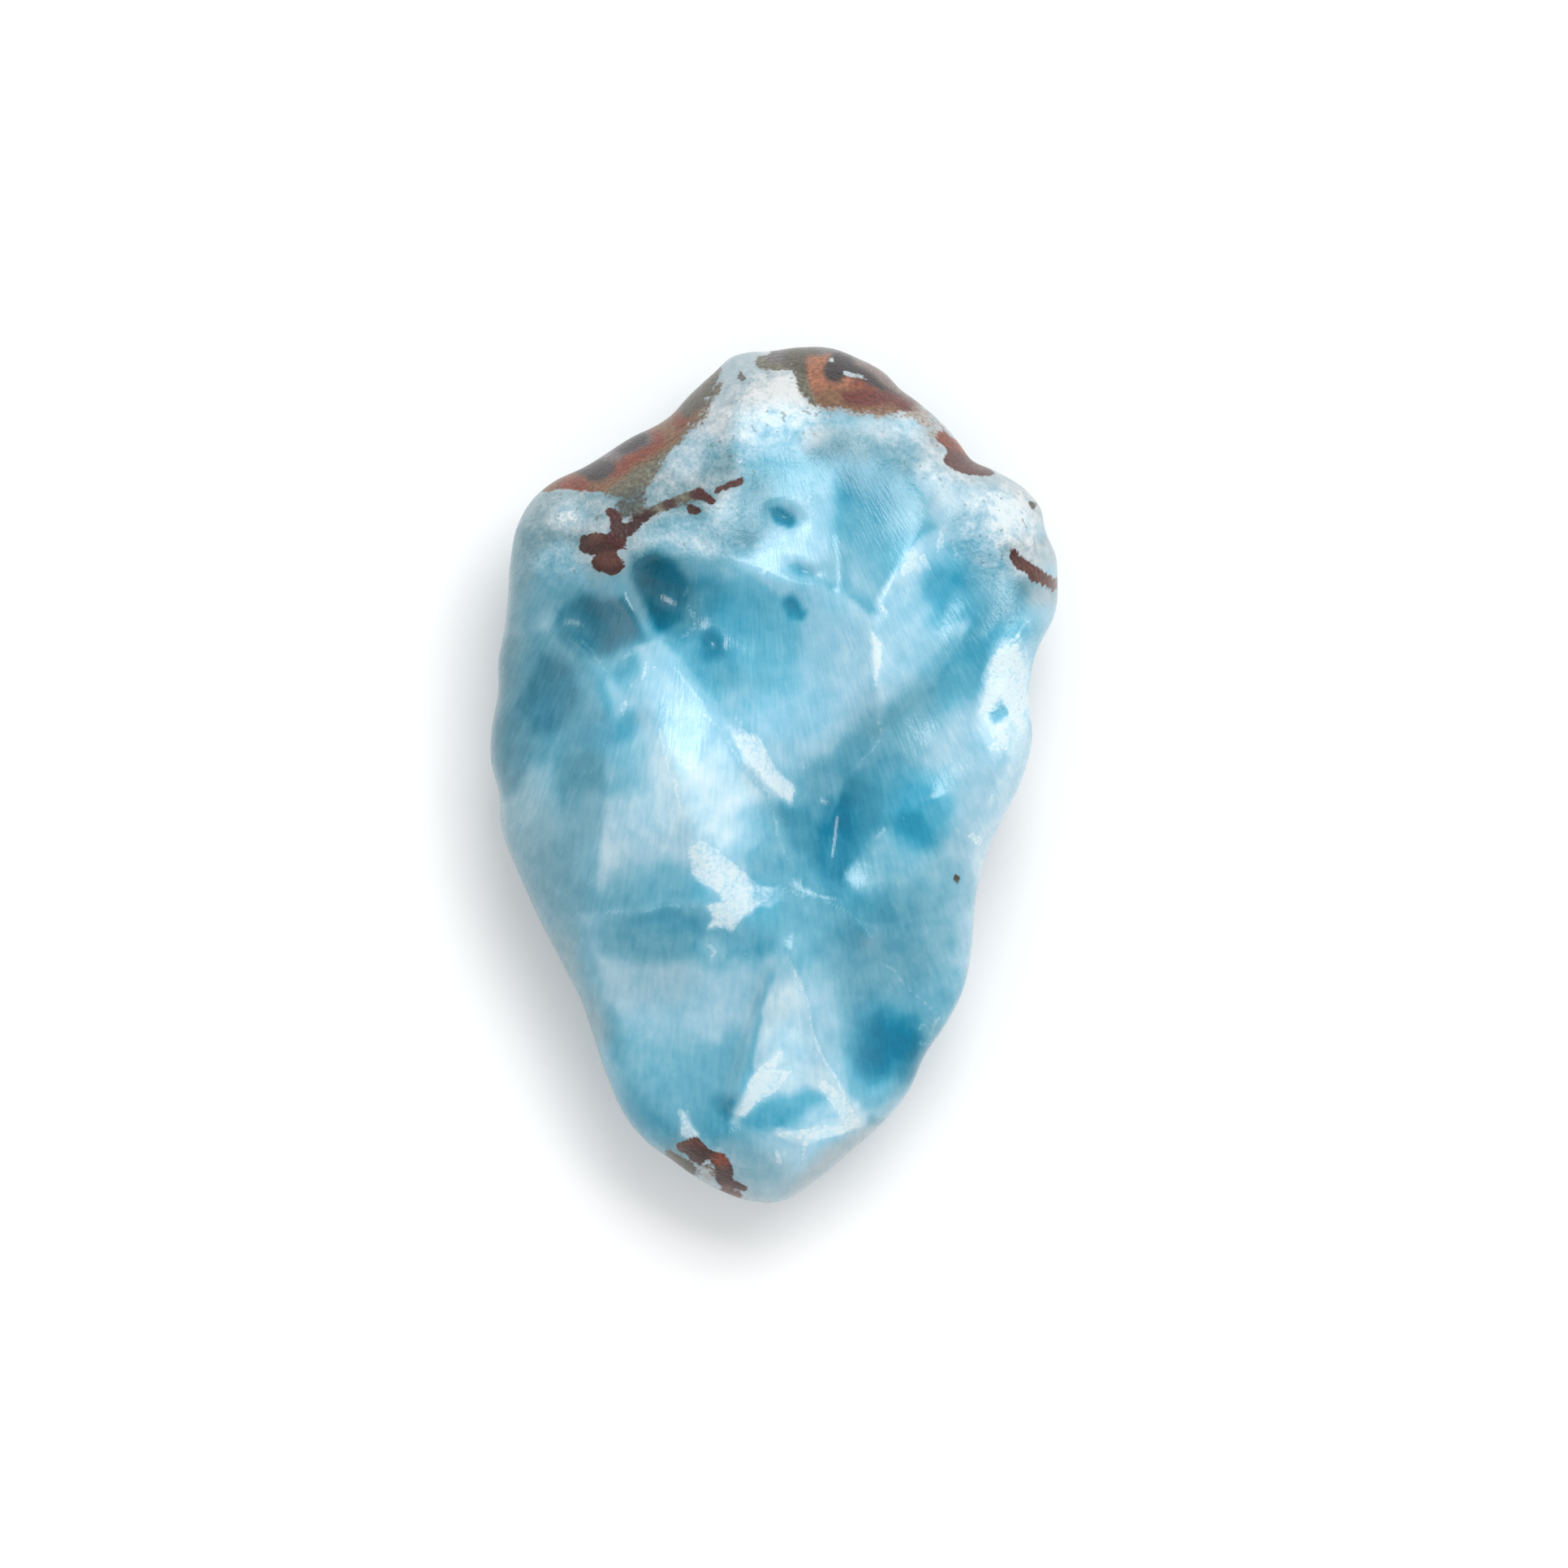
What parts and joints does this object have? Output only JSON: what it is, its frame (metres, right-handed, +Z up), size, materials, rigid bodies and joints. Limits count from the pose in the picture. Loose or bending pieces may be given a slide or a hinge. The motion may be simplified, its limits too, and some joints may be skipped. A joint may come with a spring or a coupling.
{
  "type": "rough larimar stone",
  "caption": "Hand-sized rough lump of blue larimar with broken glossy facets, a rusty crust and a flat resting facet underneath.",
  "frame": {"origin": "on the resting plane, under the middle of the stone's box", "axes": "+Y along the stone towards its wide rusty end, +X across it to the right as seen from above, +Z up"},
  "size_m": [0.0332, 0.05, 0.0185],
  "materials": {
    "larimar": "gloss"
  },
  "bodies": {
    "root": {"larimar_stone": "larimar"}
  },
  "joints": []
}
